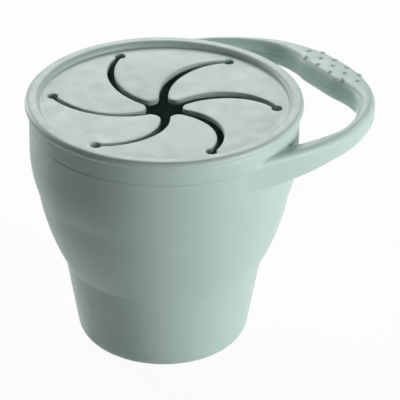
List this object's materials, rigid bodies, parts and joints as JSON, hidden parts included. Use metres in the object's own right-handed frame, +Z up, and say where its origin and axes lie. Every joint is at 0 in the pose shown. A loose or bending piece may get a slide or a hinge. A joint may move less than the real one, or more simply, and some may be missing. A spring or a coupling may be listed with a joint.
{
  "type": "toddler snack container",
  "caption": "Soft silicone snack cup with a fold-down wall, a carrying loop with grip nubs, and a pull-off lid of curved flexing petals.",
  "frame": {"origin": "middle of the flat underside, on the table", "axes": "+Z up along the cup's axis, +X from the axis to the middle of the carrying loop's grip"},
  "size_m": [0.1297, 0.098, 0.0942],
  "materials": {
    "cup_silicone": "matte",
    "lid_silicone": "matte"
  },
  "bodies": {
    "base": {"base_cup": "cup_silicone", "fold_wall": "cup_silicone"},
    "upper": {"upper_wall": "cup_silicone", "carry_loop": "cup_silicone", "grip_nubs": "cup_silicone"},
    "lid": {"lid_ring": "lid_silicone"},
    "flap_1": {"petal_1": "lid_silicone"},
    "flap_2": {"petal_2": "lid_silicone"},
    "flap_3": {"petal_3": "lid_silicone"},
    "flap_4": {"petal_4": "lid_silicone"},
    "flap_5": {"petal_5": "lid_silicone"},
    "flap_6": {"petal_6": "lid_silicone"}
  },
  "joints": [
    {"name": "collapse", "type": "slide", "parent": "base", "child": "upper", "axis": [0, 0, -1], "range_m": [0, 0.046], "deforming": ["fold_wall"]},
    {"name": "lid_pull", "type": "slide", "parent": "upper", "child": "lid", "axis": [0, 0, 1], "range_m": [0, 0.03]},
    {"name": "petal_1_flex", "type": "hinge", "parent": "lid", "child": "flap_1", "pos_m": [0.02214, 0.02619, 0.09115], "axis": [0.7638, -0.6455, 0], "range_deg": [-35, 60], "stiffness_Nm_per_rad": 0.01},
    {"name": "petal_2_flex", "type": "hinge", "parent": "lid", "child": "flap_2", "pos_m": [-0.01162, 0.03227, 0.09115], "axis": [0.9409, 0.3387, 0], "range_deg": [-35, 60], "stiffness_Nm_per_rad": 0.01},
    {"name": "petal_3_flex", "type": "hinge", "parent": "lid", "child": "flap_3", "pos_m": [-0.03375, 0.00607, 0.09115], "axis": [0.1771, 0.9842, 0], "range_deg": [-35, 60], "stiffness_Nm_per_rad": 0.01},
    {"name": "petal_4_flex", "type": "hinge", "parent": "lid", "child": "flap_4", "pos_m": [-0.02214, -0.02619, 0.09115], "axis": [-0.7638, 0.6455, 0], "range_deg": [-35, 60], "stiffness_Nm_per_rad": 0.01},
    {"name": "petal_5_flex", "type": "hinge", "parent": "lid", "child": "flap_5", "pos_m": [0.01162, -0.03227, 0.09115], "axis": [-0.9409, -0.3387, 0], "range_deg": [-35, 60], "stiffness_Nm_per_rad": 0.01},
    {"name": "petal_6_flex", "type": "hinge", "parent": "lid", "child": "flap_6", "pos_m": [0.03375, -0.00607, 0.09115], "axis": [-0.1771, -0.9842, 0], "range_deg": [-35, 60], "stiffness_Nm_per_rad": 0.01}
  ]
}
